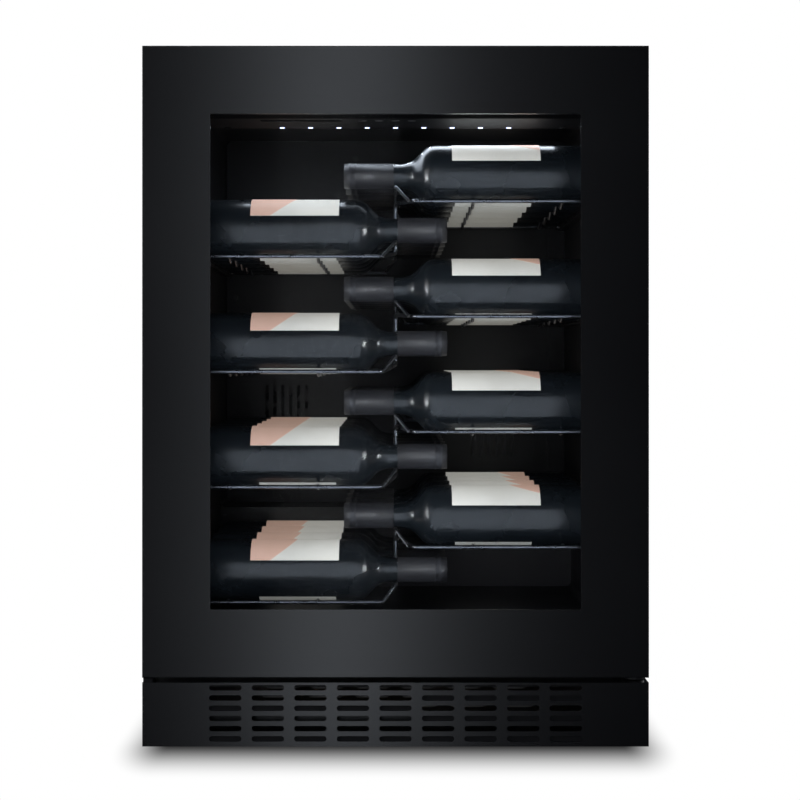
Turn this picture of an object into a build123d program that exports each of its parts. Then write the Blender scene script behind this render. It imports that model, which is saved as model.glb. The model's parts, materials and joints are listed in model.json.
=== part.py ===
from build123d import *
from math import cos, radians, tan
import os

# Under-counter wine cooler, in millimetres.
# +Z is up, the door faces -Y, and the origin is the centre of the footprint on the floor.

# ---------------------------------------------------------------- driving dimensions
WIDTH = 595.0
DEPTH = 574.0
HEIGHT = 826.0
HALF = WIDTH / 2
FRONT = -DEPTH / 2
BACK = DEPTH / 2

# door
DOOR_BOTTOM = 84.0
DOOR_THICK = 44.0
DOOR_BACK = FRONT + DOOR_THICK
BORDER = 80.0
SKIN = 1.5
GLASS = 4.0
GLASS_GAP = 12.0
RETURN_DEPTH = 25.0
LINER_DEPTH = 9.0
WINDOW_HALF = HALF - BORDER
WINDOW_LOW = DOOR_BOTTOM + BORDER
WINDOW_HIGH = HEIGHT - BORDER
GLASS_EDGE = 12.5
PIVOT_X = 283.5
PIVOT_Y = -261.0
PIN_RADIUS = 4.0
BUSH_BORE = 4.05
BUSH_RADIUS = 6.5
NOTCH_X = 262.0
NOTCH_Z = 806.0

# cabinet
CABINET_FRONT = -234.0
CASE_TOP = 822.0
CASE_LOW = 22.0
SHEET = 1.2
CASE_BACK = 283.8
BAY_FRONT = 154.0
BAY_TOP = 208.2
FOAM_LOW = 97.2

# cavity
CAVITY_HALF = 247.0
FLOOR = 139.0
CEILING = 776.0
LINER_BACK = 222.0
LINER = 2.0
DUCT_FRONT = 195.0
DUCT_SCREWS = [(-58, 750), (-84, 697), (-233, 548), (60, 480), (-233, 330)]
HUMP_FRONT = 112.0
HUMP_TOP = 250.0

# wire racks
LOW_RAILS = [583.0, 443.0, 303.0, 163.0]
BOTTLES_DEEP = [5, 5, 5, 4]
STEP = 67.0
RAIL_FRONT = -219.0
RAIL_X = 241.5
RAIL_RADIUS = 2.5
WIRE_RADIUS = 2.0
FIRST_BOTTLE = -176.0
BOTTLE_PITCH = 80.0
BODY_RADIUS = 37.5
NECK_RADIUS = 14.5
BODY_WIRES = [205.0, 95.0]

# feet
FOOT_PLACES = {
    "front_left_foot": (-265.0, -200.0),
    "front_right_foot": (265.0, -200.0),
    "rear_left_foot": (-265.0, 240.0),
    "rear_right_foot": (265.0, 240.0),
}

# kick grille
GRILLE_FRONT = FRONT + 2.0
GRILLE_LOW = 3.0
GRILLE_HIGH = 78.0
SLOT_COLUMNS = 9
SLOT_ROWS = 6
SLOT_PITCH_X = 50.0
SLOT_PITCH_Z = 12.0
SLOT_LENGTH = 38.0
SLOT_WIDTH = 6.4

# machine bay
COMPRESSOR_X = 150.0
BAY_Y = 219.0
COMPRESSOR_RADIUS = 55.0
FAN_Z = 115.0

os.makedirs("parts", exist_ok=True)


# ---------------------------------------------------------------- small helpers
def block(x, y, z, mode=Mode.ADD):
    """A box between (low, high) pairs, in the part that is being built."""
    centre = tuple((low + high) / 2 for low, high in (x, y, z))
    size = [high - low for low, high in (x, y, z)]
    with Locations(centre):
        Box(*size, mode=mode)


def both_sides(x, y, z, mode=Mode.ADD):
    """The same box on the right and, mirrored, on the left."""
    block(x, y, z, mode)
    block((-x[1], -x[0]), y, z, mode)


def rod(start, direction, radius, length, mode=Mode.ADD):
    """A round bar from a point along a direction."""
    with Locations(Plane(origin=start, z_dir=direction)):
        Cylinder(radius, length, align=(Align.CENTER, Align.CENTER, Align.MIN), mode=mode)


def tube(points, radius, bends):
    """A round wire or pipe: straight runs joined by arcs."""
    heading = Vector(*points[1]) - Vector(*points[0])
    with BuildPart() as pipe:
        with BuildLine() as route:
            if len(points) > 2:
                FilletPolyline(*points, radius=bends)
            else:
                Line(*points)
        with BuildSketch(Plane(origin=points[0], z_dir=heading)):
            Circle(radius)
        sweep(path=route.wires()[0])
    return pipe.part


def front_plane(y):
    """A vertical sketch plane that looks out of the front at depth y."""
    return Plane.XZ.offset(-y)


def save(part, name):
    part.label = name
    export_step(part, f"parts/{name}.step")


# ---------------------------------------------------------------- outer case and base
with BuildPart() as outer_case:
    block((-HALF, HALF), (CABINET_FRONT, CASE_BACK), (CASE_LOW, CASE_TOP))
    inner_x = (-HALF + SHEET, HALF - SHEET)
    inner_y = (CABINET_FRONT + SHEET, CASE_BACK + 1)
    block(inner_x, inner_y, (CASE_LOW - 1, CASE_TOP - SHEET), Mode.SUBTRACT)
    opening_x = (-HALF + 12, HALF - 12)
    opening_y = (CABINET_FRONT - 1, CABINET_FRONT + SHEET + 1)
    block(opening_x, opening_y, (CASE_LOW - 1, CASE_TOP - 12), Mode.SUBTRACT)
    block((-193, -167), opening_y, (811, 820), Mode.SUBTRACT)
    with Locations((258, -200, CASE_TOP), (286, -200, CASE_TOP), (272, -218, CASE_TOP)):
        Cylinder(2.6, 10, mode=Mode.SUBTRACT)
save(outer_case.part, "outer_case")

with BuildPart() as back_panel:
    block((-HALF, HALF), (CASE_BACK, 285), (212, CASE_TOP))
    for x in (-200, 200):
        for z in (330, 720):
            rod((x, 285, z), (0, 1, 0), 12, BACK - 285)
    for z in (420, 500, 580):
        with BuildSketch(front_plane(285)):
            with Locations((0, z)):
                SlotOverall(360, 26)
        extrude(amount=-0.8)
save(back_panel.part, "back_panel")

with BuildPart() as machine_bay_cover:
    block((-HALF, HALF), (CASE_BACK, 285), (24, 211))
    with BuildSketch(front_plane(286)):
        with Locations((-150, 110)):
            with GridLocations(44, 14, 5, 9):
                SlotOverall(36, 6)
        with Locations((60, 110)):
            with GridLocations(44, 14, 3, 9):
                SlotOverall(36, 6)
        with Locations((255, 70)):
            Rectangle(27.6, 20.6)
    extrude(amount=5, mode=Mode.SUBTRACT)
save(machine_bay_cover.part, "machine_bay_cover")

with BuildPart() as base_pan:
    block((-296, 296), (-231, 283.5), (CASE_LOW, 23.5))
    both_sides((294.6, 296), (-231, 283.5), (CASE_LOW, 44))
    with Locations(*[(x, y, CASE_LOW) for x, y in FOOT_PLACES.values()]):
        Cylinder(5.6, 8, mode=Mode.SUBTRACT)
    with BuildSketch(Plane.XY.offset(CASE_LOW - 1)):
        with Locations((0, -90)):
            with GridLocations(60, 60, 6, 3):
                SlotOverall(44, 14)
    extrude(amount=3, mode=Mode.SUBTRACT)
save(base_pan.part, "base_pan")

with BuildPart() as base_front_frame:
    block((-296, 296), (-232.6, -231.1), (23.5, 97))
    block((-296, 296), (-231.1, -205), (95.5, 97))
    block((-294, 294), (-231.1, -219), (23.5, 25))
    with BuildSketch(front_plane(-230)):
        with Locations((0, 55)):
            RectangleRounded(460, 52, 5)
    extrude(amount=5, mode=Mode.SUBTRACT)
    with Locations((267, -232, 48), (280, -232, 48)):
        Cylinder(2.6, 6, rotation=(90, 0, 0), mode=Mode.SUBTRACT)
save(base_front_frame.part, "base_front_frame")

# ---------------------------------------------------------------- liner and insulation
with BuildPart() as cavity:
    block((-CAVITY_HALF, CAVITY_HALF), (CABINET_FRONT - 1, LINER_BACK), (FLOOR, CEILING))
    block((-CAVITY_HALF, CAVITY_HALF), (HUMP_FRONT, LINER_BACK), (FLOOR, HUMP_TOP), Mode.SUBTRACT)
    fillet(cavity.edges().filter_by(Axis.Y), radius=8)

with BuildPart() as inner_liner:
    liner_x = (-CAVITY_HALF - LINER, CAVITY_HALF + LINER)
    hump_y = (HUMP_FRONT + LINER, LINER_BACK + LINER)
    block(liner_x, (CABINET_FRONT + 2, LINER_BACK + LINER), (FLOOR - LINER, CEILING + LINER))
    block(liner_x, hump_y, (FLOOR - LINER, HUMP_TOP - LINER), Mode.SUBTRACT)
    block((-285, 285), (CABINET_FRONT, CABINET_FRONT + 2), (98, 809.5))
    add(cavity.part, mode=Mode.SUBTRACT)
save(inner_liner.part, "inner_liner")

with BuildPart() as foam_insulation:
    foam_y = (CABINET_FRONT + 2, CASE_BACK - 0.1)
    block((-296.2, 296.2), foam_y, (FOAM_LOW, CASE_TOP - SHEET - 0.1))
    liner_y = (CABINET_FRONT + 2, LINER_BACK + LINER)
    block(liner_x, liner_y, (FLOOR - LINER, CEILING + LINER), Mode.SUBTRACT)
    block(liner_x, hump_y, (FLOOR - LINER, HUMP_TOP - LINER))
    block((-296.2, 296.2), (BAY_FRONT, CASE_BACK), (FOAM_LOW, BAY_TOP), Mode.SUBTRACT)
    block((-193, -167), (CABINET_FRONT, -195), (810.8, 820), Mode.SUBTRACT)
    with Locations((258, -200, 815), (286, -200, 815), (272, -218, 815)):
        Cylinder(3, 14, mode=Mode.SUBTRACT)
save(foam_insulation.part, "foam_insulation")


# ---------------------------------------------------------------- rack runners
def runner_channel(wall, rail, back):
    """A C-shaped ledge on the wall at x = wall, round a rack's side wire at height rail."""
    inward = -1 if wall > 0 else 1
    with BuildPart() as channel:
        with BuildSketch(Plane.XZ.offset(212)):
            with BuildLine():
                Polyline(
                    (wall, rail - 5.3),
                    (wall + inward * 10, rail - 5.3),
                    (wall + inward * 10, rail - 2.9),
                    (wall + inward * 2, rail - 2.9),
                    (wall + inward * 2, rail + 2.9),
                    (wall + inward * 6, rail + 2.9),
                    (wall + inward * 6, rail + 5.3),
                    (wall, rail + 5.3),
                    close=True,
                )
            make_face()
        extrude(amount=-(212 + back))
    return channel.part


for side, wall, lift in (("left", -CAVITY_HALF, 0), ("right", CAVITY_HALF, STEP)):
    with BuildPart() as rack_runners:
        for low_rail in LOW_RAILS:
            rail = low_rail + lift
            reach = HUMP_FRONT if rail < HUMP_TOP else DUCT_FRONT
            add(runner_channel(wall, rail, reach))
    save(rack_runners.part, f"{side}_rack_runners")


# ---------------------------------------------------------------- wire racks
def wave_points(x, rail, radius, slope, saddle, valleys):
    """Corners of a wire that dips under each bottle, along the depth."""
    rise = tan(radians(slope)) * BOTTLE_PITCH / 2
    drop = (radius + WIRE_RADIUS) * (1 / cos(radians(slope)) - 1)
    corners = []
    for index, y in enumerate(valleys):
        if index:
            corners.append((x, y - BOTTLE_PITCH / 2, rail + saddle - drop + rise))
        corners.append((x, y, rail + saddle - drop))
    return corners


def body_wire(x, rail, valleys, rear):
    """A cradle wire under the bottles' bodies, from the front rail to the rear rail."""
    slope = 24.0
    corners = wave_points(x, rail, BODY_RADIUS, slope, -5.0, valleys)
    run_out = (rail - corners[0][2]) / tan(radians(slope))
    route = [(x, RAIL_FRONT, rail), (x, valleys[0] - run_out, rail)]
    route += corners
    route += [(x, valleys[-1] + run_out, rail), (x, rear, rail)]
    bends = [12.0]
    for index in range(len(corners)):
        bends.append(BODY_RADIUS + WIRE_RADIUS if index % 2 == 0 else 12.0)
    bends.append(12.0)
    return tube(route, WIRE_RADIUS, bends)


def neck_wire(side, rail, valleys, rear):
    """A shallower wire under the necks, at the middle of the rack."""
    corners = wave_points(0, rail, NECK_RADIUS, 13.0, 18.0, valleys)
    route = [(side * 16, RAIL_FRONT, rail), (0, valleys[0] - 26, rail + 19)]
    route += corners
    route += [(0, valleys[-1] + 26, rail + 19), (side * 16, rear, rail)]
    bends = [6.0]
    for index in range(len(corners)):
        bends.append(NECK_RADIUS + WIRE_RADIUS if index % 2 == 0 else 12.0)
    bends.append(6.0)
    return tube(route, WIRE_RADIUS, bends)


def rack(low_rail, count):
    """One rack: the left half is low, the right half is a step higher, joined by uprights."""
    high_rail = low_rail + STEP
    valleys = [FIRST_BOTTLE + BOTTLE_PITCH * index for index in range(count)]
    rear = valleys[-1] + 42
    upright_y = valleys[0] + BOTTLE_PITCH / 2
    frame_route = [
        (-12, rear, low_rail),
        (-RAIL_X, rear, low_rail),
        (-RAIL_X, RAIL_FRONT, low_rail),
        (-16, RAIL_FRONT, low_rail),
        (0, upright_y, low_rail + 8),
        (0, upright_y, high_rail + 4),
        (22, RAIL_FRONT, high_rail),
        (RAIL_X, RAIL_FRONT, high_rail),
        (RAIL_X, rear, high_rail),
        (12, rear, high_rail),
    ]
    with BuildPart() as wires:
        add(tube(frame_route, RAIL_RADIUS, [8, 8, 8, 6, 6, 8, 8, 8]))
        for x in BODY_WIRES:
            add(body_wire(-x, low_rail, valleys, rear))
            add(body_wire(x, high_rail, valleys, rear))
        add(neck_wire(-1, low_rail, valleys, rear))
        add(neck_wire(1, high_rail, valleys, rear))
        for y in valleys[1:-1]:
            rod((0, y + BOTTLE_PITCH / 2, low_rail + 25), (0, 0, 1), WIRE_RADIUS, STEP)
    return wires.part


for number, (low_rail, count) in enumerate(zip(LOW_RAILS, BOTTLES_DEEP), start=1):
    save(rack(low_rail, count), f"rack_{number}")

# ---------------------------------------------------------------- rear duct
with BuildPart() as rear_duct_cover:
    block((-246, 246), (DUCT_FRONT, LINER_BACK - 0.2), (HUMP_TOP + 0.5, CEILING - 0.5))
    fillet(rear_duct_cover.edges().filter_by(Axis.Y), radius=9)
    block((-244, 244), (DUCT_FRONT + 2, LINER_BACK), (HUMP_TOP + 2.5, CEILING - 2.5), Mode.SUBTRACT)
    block((222, 236), (DUCT_FRONT - 2, DUCT_FRONT), (HUMP_TOP + 10, CEILING - 10))
    with BuildSketch(front_plane(DUCT_FRONT + 3)):
        for x, z, length in ((-158.5, 391, 60), (-158.5, 277, 40), (141, 347, 60)):
            with Locations((x, z)):
                with GridLocations(11.5, 1, 6, 1):
                    SlotOverall(length, 5, rotation=90)
        with Locations(*DUCT_SCREWS):
            Circle(2.2)
    extrude(amount=6, mode=Mode.SUBTRACT)
save(rear_duct_cover.part, "rear_duct_cover")

with BuildPart() as evaporator_plate:
    block((-95, 235), (214, 215.5), (275, 755))
    levels = [295 + 60 * index for index in range(8)]
    serpentine = []
    for index, z in enumerate(levels):
        ends = [(-75, 212.5, z), (215, 212.5, z)]
        serpentine += ends if index % 2 == 0 else ends[::-1]
    add(tube(serpentine, 3.0, 29.0))
save(evaporator_plate.part, "evaporator_plate")


# ---------------------------------------------------------------- fans
def fan_frame(size, depth, bore, hub, pin_radius, pin_length):
    """A square fan frame round +Z: its hub and struts are at the back, z = 0."""
    with BuildPart() as frame:
        with BuildSketch():
            RectangleRounded(size, size, 6)
            Circle(bore, mode=Mode.SUBTRACT)
            corner = size - 10
            with GridLocations(corner, corner, 2, 2):
                Circle(1.8, mode=Mode.SUBTRACT)
        extrude(amount=depth)
        with BuildSketch():
            Circle(hub)
            with Locations(Rotation(0, 0, 45)):
                Rectangle(2 * bore + 2, 4)
                Rectangle(4, 2 * bore + 2)
        extrude(amount=2)
        with BuildSketch(Plane.XY.offset(2)):
            Circle(pin_radius)
        extrude(amount=pin_length)
    return frame.part


def fan_rotor(hub, tip, height, blades, bore):
    """A hub with pitched blades round +Z, standing on z = 0."""
    with BuildPart() as rotor:
        with BuildSketch():
            Circle(hub)
        extrude(amount=height)
        fillet(rotor.faces().sort_by(Axis.Z)[-1].edges(), radius=2)
        with PolarLocations((hub + tip) / 2 - 1, blades):
            with Locations(Location((0, 0, height / 2), (38, 0, 0))):
                Box(tip - hub + 2, height * 1.15, 1.4)
        with BuildSketch():
            Circle(bore)
        extrude(amount=height - 2, mode=Mode.SUBTRACT)
    return rotor.part


toward_front = Plane(origin=(-158.5, 213.5, 391), x_dir=(1, 0, 0), z_dir=(0, -1, 0))
small_frame = fan_frame(80, 15, 37, 14, 1.5, 8).moved(toward_front.location)
save(small_frame, "circulation_fan_frame")
rotor_plane = toward_front.offset(2.6)
small_rotor = fan_rotor(15, 34, 10, 7, 1.55).moved(rotor_plane.location)
save(small_rotor, "circulation_fan_rotor")

toward_compressor = Plane(origin=(-172, BAY_Y, FAN_Z), x_dir=(0, 1, 0), z_dir=(1, 0, 0))
with BuildPart() as condenser_fan_frame:
    add(fan_frame(120, 25, 56, 20, 2, 15).moved(toward_compressor.location))
    for y in (165, 263):
        block((-172, -147), (y, y + 10), (23.5, 57))
save(condenser_fan_frame.part, "condenser_fan_frame")
rotor_plane = toward_compressor.offset(2.8)
large_rotor = fan_rotor(22, 52, 18, 5, 2.05).moved(rotor_plane.location)
save(large_rotor, "condenser_fan_rotor")

# ---------------------------------------------------------------- lamp, sensor and controls
LAMP_LOW = 750.0
LED_Y = -137.0
LED_XS = [-142.8 + 35.7 * index for index in range(9)]
BUTTON_XS = [-40, -20, 0, 20]

with BuildPart() as lamp_housing:
    block((-232, 232), (-225, -128), (LAMP_LOW, CEILING - 0.2))
    front_edge = lamp_housing.edges().filter_by(Axis.X).group_by(Axis.Z)[0].sort_by(Axis.Y)[0]
    chamfer(front_edge, length=7)
    block((-229, 229), (-216, -131), (LAMP_LOW + 2, CEILING), Mode.SUBTRACT)
    for x in LED_XS:
        rod((x, LED_Y, LAMP_LOW - 1), (0, 0, 1), 3.2, 5, Mode.SUBTRACT)
    block((-165.2, -65.8), (-207.2, -193.8), (LAMP_LOW - 1, LAMP_LOW + 3), Mode.SUBTRACT)
    for x in BUTTON_XS:
        rod((x, -200.5, LAMP_LOW - 1), (0, 0, 1), 5.2, 5, Mode.SUBTRACT)
    for x in (-211, 211):
        rod((x, LED_Y, LAMP_LOW - 1.2), (0, 0, 1), 4, 1.3)
    for x in (-160, 10):
        for y in (-212, -186):
            rod((x, y, LAMP_LOW + 2), (0, 0, 1), 3, 4)
save(lamp_housing.part, "lamp_housing")

with BuildPart() as led_board:
    block((-155, 155), (-146, -131.2), (754, 755.6))
save(led_board.part, "led_board")

with BuildPart() as led_lenses:
    for x in LED_XS:
        rod((x, LED_Y, LAMP_LOW - 0.6), (0, 0, 1), 3.0, 2.6)
        rod((x, LED_Y, LAMP_LOW + 2), (0, 0, 1), 4.2, 2)
save(led_lenses.part, "led_lenses")

with BuildPart() as display_window:
    block((-165, -66), (-207, -194), (LAMP_LOW - 0.4, LAMP_LOW + 2))
save(display_window.part, "display_window")

with BuildPart() as touch_buttons:
    for x in BUTTON_XS:
        rod((x, -200.5, LAMP_LOW - 0.4), (0, 0, 1), 5.0, 2.4)
save(touch_buttons.part, "touch_buttons")

with BuildPart() as control_board:
    block((-170, 30), (-215, -180), (756, 757.6))
    block((-150, -80), (-206, -194), (757.6, 764))
    block((-20, 14), (-210, -186), (757.6, 766))
save(control_board.part, "control_board")

with BuildPart() as temperature_sensor:
    rod((100, 189, 700), (0, 0, 1), 4, 26)
    fillet(temperature_sensor.edges().filter_by(GeomType.CIRCLE), radius=2)
    block((97, 103), (189, DUCT_FRONT), (708, 718))
save(temperature_sensor.part, "temperature_sensor")

with BuildPart() as power_board_box:
    block((-60, 40), (BAY_FRONT, 184), (110, 190))
    fillet(power_board_box.edges().filter_by(Axis.Y), radius=5)
    block((-52, 32), (184, 186), (118, 182))
save(power_board_box.part, "power_board_box")

# ---------------------------------------------------------------- refrigeration
MOUNT_OFFSETS = [(x, y) for x in (-50, 50) for y in (-42, 42)]

with BuildPart() as compressor:
    with BuildSketch(Plane.XY.offset(38)):
        with Locations((COMPRESSOR_X, BAY_Y)):
            Circle(COMPRESSOR_RADIUS)
    extrude(amount=142)
    fillet(compressor.edges().filter_by(GeomType.CIRCLE), radius=28)
    rod((COMPRESSOR_X, BAY_Y, 104), (0, 0, 1), COMPRESSOR_RADIUS + 3, 3)
    block((90, 210), (169, 269), (32, 35))
    block((120, 180), (189, 249), (35, 42))
    block((195, 209), (209, 229), (92, 118))
    rod((85, BAY_Y, 140), (1, 0, 0), 5, 14)
    rod((85, 248, 70), (1, 0, 0), 4, 24)
    for x, y in MOUNT_OFFSETS:
        rod((COMPRESSOR_X + x, BAY_Y + y, 30), (0, 0, 1), 6, 8, Mode.SUBTRACT)
save(compressor.part, "compressor")

with BuildPart() as compressor_mounts:
    for x, y in MOUNT_OFFSETS:
        rod((COMPRESSOR_X + x, BAY_Y + y, 23.5), (0, 0, 1), 10, 8.5)
        rod((COMPRESSOR_X + x, BAY_Y + y, 32), (0, 0, 1), 5.8, 3)
        rod((COMPRESSOR_X + x, BAY_Y + y, 35), (0, 0, 1), 8, 3)
save(compressor_mounts.part, "compressor_mounts")

with BuildPart() as compressor_terminal_cover:
    block((209, 229), (199, 239), (82, 128))
    fillet(compressor_terminal_cover.faces().sort_by(Axis.X)[-1].edges(), radius=5)
save(compressor_terminal_cover.part, "compressor_terminal_cover")

with BuildPart() as condenser_coil:
    for x in (-276, -195.5):
        block((x, x + 1.5), (168, 270), (23.5, 200))
    for index in range(8):
        x = -268 + 9.2 * index
        block((x, x + 0.8), (170, 268), (34, 198))
    for y in (190, 248):
        passes = []
        for index in range(8):
            z = 45 + 20 * index
            ends = [(-184, y, z), (-286, y, z)]
            passes += ends if index % 2 == 0 else ends[::-1]
        add(tube(passes, 3.0, 9.0))
save(condenser_coil.part, "condenser_coil")

suction_route = [(60, 262, BAY_TOP), (60, 262, 140), (60, BAY_Y, 140), (85, BAY_Y, 140)]
save(tube(suction_route, 4.0, 12.0), "suction_line")

discharge_route = [(85, 248, 70), (50, 248, 70), (50, 248, 45), (-184, 248, 45)]
save(tube(discharge_route, 3.0, 10.0), "discharge_line")

with BuildPart() as filter_drier:
    rod((-110, 190, 75), (0, 0, 1), 9, 70)
    fillet(filter_drier.edges().filter_by(GeomType.CIRCLE), radius=5)
    add(tube([(-184, 190, 45), (-110, 190, 45), (-110, 190, 80)], 3.0, 10.0))
    rod((-110, 190, 140), (0, 0, 1), 1.3, BAY_TOP - 140)
save(filter_drier.part, "filter_drier")

with BuildPart() as drip_tray:
    block((95, 205), (165, 273), (180, 203))
    block((96.5, 203.5), (166.5, 271.5), (181.5, 204), Mode.SUBTRACT)
save(drip_tray.part, "drip_tray")

with BuildPart() as power_inlet:
    block((241.5, 268.5), (262, 285), (60, 80))
    with BuildSketch(front_plane(285)):
        with Locations((255, 70)):
            RectangleRounded(48, 27, 4)
    extrude(amount=-1.8)
    block((243.5, 266.5), (266, 287), (62.5, 77.5), Mode.SUBTRACT)
    for x in (248.5, 255, 261.5):
        block((x - 1, x + 1), (266, 282), (68, 72))
save(power_inlet.part, "power_inlet")

# ---------------------------------------------------------------- kick grille
with BuildPart() as kick_grille:
    block((-HALF, HALF), (GRILLE_FRONT, -236), (GRILLE_LOW, GRILLE_HIGH))
    shell_x = (-HALF + SKIN, HALF - SKIN)
    shell_z = (GRILLE_LOW + SKIN, GRILLE_HIGH - SKIN)
    block(shell_x, (GRILLE_FRONT + SKIN, -235), shell_z, Mode.SUBTRACT)
    with BuildSketch(front_plane(GRILLE_FRONT + 2)):
        with Locations((0, GRILLE_LOW + 39)):
            with GridLocations(SLOT_PITCH_X, SLOT_PITCH_Z, SLOT_COLUMNS, SLOT_ROWS):
                SlotOverall(SLOT_LENGTH, SLOT_WIDTH)
    extrude(amount=5, mode=Mode.SUBTRACT)
    both_sides((242, 256), (GRILLE_FRONT + 1, -232.6), (34, 50))
    block(shell_x, (-238, -236.8), (GRILLE_LOW, 32))
save(kick_grille.part, "kick_grille")

with BuildPart() as grille_louvres:
    louvre_y = (GRILLE_FRONT + SKIN, GRILLE_FRONT + 5)
    block((-238, 238), louvre_y, (5.5, 76))
    block((-233, 233), (GRILLE_FRONT, GRILLE_FRONT + 6), (8, 73), Mode.SUBTRACT)
    for span, levels in (((-234, 25), (12, 48)), ((25, 234), (12, 36, 60))):
        for z in levels:
            block(span, (GRILLE_FRONT + 2.5, GRILLE_FRONT + 4.5), (z - 4.2, z + 4.2))
    for index in range(10):
        x = -225 + 50 * index
        block((x - 1.5, x + 1.5), (GRILLE_FRONT + 2.5, GRILLE_FRONT + 5), (7, 74))
save(grille_louvres.part, "grille_louvres")

with BuildPart() as left_corner_cap:
    block((-297, -284), (-284, -262), (GRILLE_HIGH, 83))
    fillet(left_corner_cap.edges().filter_by(Axis.Z), radius=3)
save(left_corner_cap.part, "left_corner_cap")

# ---------------------------------------------------------------- levelling feet
for name, (x, y) in FOOT_PLACES.items():
    with BuildPart() as foot:
        rod((x, y, 0), (0, 0, 1), 20, 6)
        chamfer(foot.edges().filter_by(GeomType.CIRCLE), length=1.2)
        with BuildSketch(Plane.XY.offset(6)):
            with Locations((x, y)):
                RegularPolygon(9, 6)
        extrude(amount=6)
        rod((x, y, 12), (0, 0, 1), 5, 21.5)
    save(foot.part, name)

with BuildPart() as foot_nuts:
    with BuildSketch(Plane.XY.offset(23.5)):
        with Locations(*FOOT_PLACES.values()):
            Circle(9)
            Circle(5.05, mode=Mode.SUBTRACT)
    extrude(amount=8)
save(foot_nuts.part, "foot_nuts")

# ---------------------------------------------------------------- hinge hardware
SCREW_PLACES = [(258, -200), (286, -200), (272, -218)]

with BuildPart() as upper_hinge_bracket:
    with BuildSketch(Plane.XY.offset(CASE_TOP)):
        with Locations((271, -209)):
            RectangleRounded(52, 46, 3)
        with Locations((PIVOT_X, (PIVOT_Y - 225) / 2)):
            Rectangle(23, -PIVOT_Y - 225)
        with Locations((PIVOT_X, PIVOT_Y)):
            Circle(11.5)
    extrude(amount=3)
    with Locations(*[(x, y, CASE_TOP + 3) for x, y in SCREW_PLACES]):
        CounterSinkHole(2.6, 5.1)
save(upper_hinge_bracket.part, "upper_hinge_bracket")

with BuildPart() as lower_hinge_bracket:
    with BuildSketch(Plane.XY.offset(79)):
        with Locations((PIVOT_X, (PIVOT_Y - 234.2) / 2)):
            Rectangle(23, -PIVOT_Y - 234.2)
        with Locations((PIVOT_X, PIVOT_Y)):
            Circle(11.5)
    extrude(amount=4)
    block((262, 285), (-235.6, -232.6), (40, 83))
    with Locations((267, -234, 48), (280, -234, 48)):
        Cylinder(2.6, 8, rotation=(90, 0, 0), mode=Mode.SUBTRACT)
save(lower_hinge_bracket.part, "lower_hinge_bracket")

with BuildPart() as hinge_pins:
    rod((PIVOT_X, PIVOT_Y, 786), (0, 0, 1), PIN_RADIUS, CASE_TOP - 786)
    rod((PIVOT_X, PIVOT_Y, 814), (0, 0, 1), 8, CASE_TOP - 814)
    rod((PIVOT_X, PIVOT_Y, 83), (0, 0, 1), PIN_RADIUS, 25)
    rod((PIVOT_X, PIVOT_Y, 83), (0, 0, 1), 8, 0.7)
save(hinge_pins.part, "hinge_pins")

with BuildPart() as cabinet_screws:
    for x, y in SCREW_PLACES:
        rod((x, y, 812), (0, 0, 1), 2.5, 11)
        with Locations((x, y, CASE_TOP + 1.75)):
            Cone(2.5, 4.9, 2.4)
    for x in (267, 280):
        rod((x, -235.6, 48), (0, 1, 0), 2.5, 10)
        rod((x, -237.8, 48), (0, 1, 0), 4.5, 2.2)
    for x in (-285, 285):
        for z in (40, 195, 230, 420, 610, 800):
            rod((x, 285, z), (0, 1, 0), 4, 1.8)
    for x, z in DUCT_SCREWS:
        rod((x, DUCT_FRONT - 1.6, z), (0, 1, 0), 3.8, 1.6)
        rod((x, DUCT_FRONT - 1, z), (0, 1, 0), 2, 9)
save(cabinet_screws.part, "cabinet_screws")

# ---------------------------------------------------------------- push-to-open latch
LATCH_X = -180.0
LATCH_Z = 815.5

with BuildPart() as opener_housing:
    block((LATCH_X - 12, LATCH_X + 12), (-234.8, -196), (811.2, 819.8))
    rod((LATCH_X, -236, LATCH_Z), (0, 1, 0), 3.6, 36, Mode.SUBTRACT)
save(opener_housing.part, "opener_housing")

with BuildPart() as opener_plunger:
    rod((LATCH_X, -241.2, LATCH_Z), (0, 1, 0), 3.5, 25)
    fillet(opener_plunger.edges().filter_by(GeomType.CIRCLE), radius=0.8)
    rod((LATCH_X, -217, LATCH_Z), (0, 1, 0), 1.2, 8)
save(opener_plunger.part, "opener_plunger")

# ---------------------------------------------------------------- door
door_x = (-HALF, HALF)
core_x = (-HALF + SKIN + 0.2, HALF - SKIN - 0.2)
core_z = (DOOR_BOTTOM + SKIN + 0.2, HEIGHT - SKIN - 0.2)
glass_x = (-WINDOW_HALF - GLASS_EDGE, WINDOW_HALF + GLASS_EDGE)
glass_z = (WINDOW_LOW - GLASS_EDGE + 0.5, WINDOW_HIGH + GLASS_EDGE - 0.5)
skin_back = FRONT + SKIN
glass_back = skin_back + GLASS
spacer_back = glass_back + GLASS_GAP
unit_back = spacer_back + GLASS
liner_front = DOOR_BACK - LINER_DEPTH
notch_x = (NOTCH_X, HALF + 1)
notch_y = (skin_back, DOOR_BACK + 1)
notch_z = (NOTCH_Z, HEIGHT + 1)

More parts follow.
